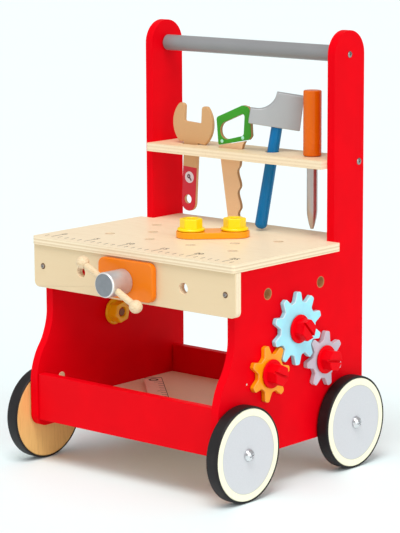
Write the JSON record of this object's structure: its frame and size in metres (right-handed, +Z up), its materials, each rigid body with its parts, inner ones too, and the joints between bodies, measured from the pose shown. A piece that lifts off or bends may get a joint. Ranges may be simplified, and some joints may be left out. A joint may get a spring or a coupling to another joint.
{
  "type": "toy workbench",
  "caption": "Push-along toddler workbench on rubber-tyred wheels with bench top, vise, tool shelf, tools, storage tray and meshing side gears.",
  "frame": {"origin": "centre of the bounding box in plan, on the floor", "axes": "+X to the side that carries the gears, -Y towards the vise and apron, +Y towards the push handle, +Z up"},
  "size_m": [0.3206, 0.2902, 0.4863],
  "materials": {
    "red_paint": "satin paint over fibreboard",
    "plywood": "clear-coated plywood",
    "tan_wood": "bare fibreboard",
    "grey_paint": "satin paint over wood",
    "silver_paint": "silver satin paint over wood",
    "orange_paint": "gloss paint over wood",
    "yellow_paint": "gloss paint over wood",
    "light_blue_paint": "gloss paint over wood",
    "green_paint": "satin paint over wood",
    "blue_paint": "gloss paint over wood",
    "cream_wood": "clear-coated wood",
    "rubber": "satin",
    "screw_steel": "polished"
  },
  "bodies": {
    "frame": {"left_side_panel": "red_paint", "right_side_panel": "red_paint", "bench_top": "plywood", "front_apron": "plywood", "left_apron_screw": "screw_steel", "right_apron_screw": "screw_steel", "push_handle": "grey_paint", "left_handle_screw": "screw_steel", "right_handle_screw": "screw_steel", "tool_shelf": "plywood", "left_shelf_screw": "screw_steel", "right_shelf_screw": "screw_steel", "tray_front_board": "red_paint", "tray_floor": "tan_wood", "tray_back_board": "red_paint", "vise_nut": "plywood", "nut_blue": "yellow_paint", "nut_orange": "yellow_paint", "nut_grey": "yellow_paint", "nut_side": "yellow_paint", "axle_screw_front_left": "screw_steel", "axle_screw_front_right": "screw_steel", "axle_screw_rear_left": "screw_steel", "axle_screw_rear_right": "screw_steel"},
    "wheel_front_left_body": {"wheel_front_left": "cream_wood", "tyre_front_left": "rubber"},
    "wheel_front_right_body": {"wheel_front_right": "cream_wood", "tyre_front_right": "rubber"},
    "wheel_rear_left_body": {"wheel_rear_left": "cream_wood", "tyre_rear_left": "rubber"},
    "wheel_rear_right_body": {"wheel_rear_right": "cream_wood", "tyre_rear_right": "rubber"},
    "blue_gear": {"gear_blue": "light_blue_paint"},
    "blue_bolt": {"bolt_blue": "red_paint"},
    "orange_gear": {"gear_orange": "orange_paint"},
    "orange_bolt": {"bolt_orange": "red_paint"},
    "grey_gear": {"gear_grey": "grey_paint"},
    "grey_bolt": {"bolt_grey": "red_paint"},
    "side_bolt": {"bolt_side": "red_paint"},
    "jaw": {"vise_jaw": "orange_paint"},
    "spindle": {"vise_screw": "silver_paint"},
    "tommy_bar": {"vise_bar": "plywood", "vise_knob_left": "plywood", "vise_knob_right": "plywood"},
    "wrench": {"wrench": "tan_wood"},
    "saw": {"saw_handle": "green_paint", "saw_blade": "tan_wood"},
    "hammer": {"hammer_head": "silver_paint", "hammer_handle": "blue_paint"},
    "screwdriver": {"screwdriver_handle": "orange_paint", "screwdriver_shaft": "silver_paint"},
    "strip": {"connecting_strip": "orange_paint"},
    "strip_nut_front": {"nut_strip_front": "yellow_paint"},
    "strip_nut_back": {"nut_strip_back": "yellow_paint"},
    "ruler": {"tray_ruler": "cream_wood"}
  },
  "joints": [
    {"name": "front_left_wheel_spin", "type": "hinge", "parent": "frame", "child": "wheel_front_left_body", "pos_m": [-0.1475, -0.0931, 0.052], "axis": [1, 0, 0], "continuous": true},
    {"name": "front_right_wheel_spin", "type": "hinge", "parent": "frame", "child": "wheel_front_right_body", "pos_m": [0.1475, -0.0931, 0.052], "axis": [1, 0, 0], "continuous": true},
    {"name": "rear_left_wheel_spin", "type": "hinge", "parent": "frame", "child": "wheel_rear_left_body", "pos_m": [-0.1475, 0.0931, 0.052], "axis": [1, 0, 0], "continuous": true},
    {"name": "rear_right_wheel_spin", "type": "hinge", "parent": "frame", "child": "wheel_rear_right_body", "pos_m": [0.1475, 0.0931, 0.052], "axis": [1, 0, 0], "continuous": true},
    {"name": "blue_gear_spin", "type": "hinge", "parent": "frame", "child": "blue_gear", "pos_m": [0.1417, 0.0035, 0.171], "axis": [1, 0, 0], "continuous": true},
    {"name": "blue_bolt_lift", "type": "slide", "parent": "frame", "child": "blue_bolt", "axis": [1, 0, 0], "range_m": [0, 0.034]},
    {"name": "orange_gear_spin", "type": "hinge", "parent": "frame", "child": "orange_gear", "pos_m": [0.1417, -0.043, 0.1295], "axis": [1, 0, 0], "continuous": true},
    {"name": "orange_bolt_lift", "type": "slide", "parent": "frame", "child": "orange_bolt", "axis": [1, 0, 0], "range_m": [0, 0.034]},
    {"name": "grey_gear_spin", "type": "hinge", "parent": "frame", "child": "grey_gear", "pos_m": [0.1417, 0.05, 0.1295], "axis": [1, 0, 0], "continuous": true},
    {"name": "grey_bolt_lift", "type": "slide", "parent": "frame", "child": "grey_bolt", "axis": [1, 0, 0], "range_m": [0, 0.034]},
    {"name": "side_bolt_lift", "type": "slide", "parent": "frame", "child": "side_bolt", "axis": [-1, 0, 0], "range_m": [0, 0.034]},
    {"name": "jaw_slide", "type": "slide", "parent": "frame", "child": "jaw", "axis": [0, -1, 0], "range_m": [0, 0.02]},
    {"name": "spindle_turn", "type": "hinge", "parent": "jaw", "child": "spindle", "pos_m": [-0.0045, -0.1253, 0.2217], "axis": [0, -1, 0], "range_deg": [0, 720]},
    {"name": "tommy_bar_slide", "type": "slide", "parent": "spindle", "child": "tommy_bar", "axis": [0.8934, 0, -0.4493], "range_m": [-0.0215, 0.0215]},
    {"name": "wrench_lift", "type": "slide", "parent": "frame", "child": "wrench", "axis": [0.0575, -0.0348, 0.9977], "range_m": [0, 0.09]},
    {"name": "saw_lift", "type": "slide", "parent": "frame", "child": "saw", "axis": [-0.0225, -0.0349, 0.9991], "range_m": [0, 0.16]},
    {"name": "hammer_lift", "type": "slide", "parent": "frame", "child": "hammer", "axis": [0.1213, 0.1022, 0.9873], "range_m": [0, 0.032]},
    {"name": "screwdriver_lift", "type": "slide", "parent": "frame", "child": "screwdriver", "axis": [0, 0, 1], "range_m": [0, 0.03]},
    {"name": "strip_lift", "type": "slide", "parent": "frame", "child": "strip", "axis": [0, 0, 1], "range_m": [0, 0.06]},
    {"name": "strip_nut_front_lift", "type": "slide", "parent": "strip", "child": "strip_nut_front", "axis": [0, 0, 1], "range_m": [0, 0.05]},
    {"name": "strip_nut_back_lift", "type": "slide", "parent": "strip", "child": "strip_nut_back", "axis": [0, 0, 1], "range_m": [0, 0.05]},
    {"name": "ruler_lift", "type": "slide", "parent": "frame", "child": "ruler", "axis": [0, 0, 1], "range_m": [0, 0.1]}
  ],
  "couplings": [
    {"joint": "orange_gear_spin", "follows": "blue_gear_spin", "ratio": -1.4286},
    {"joint": "grey_gear_spin", "follows": "blue_gear_spin", "ratio": -1.4286},
    {"joint": "spindle_turn", "follows": "jaw_slide", "rad_per_m": 628.32}
  ]
}
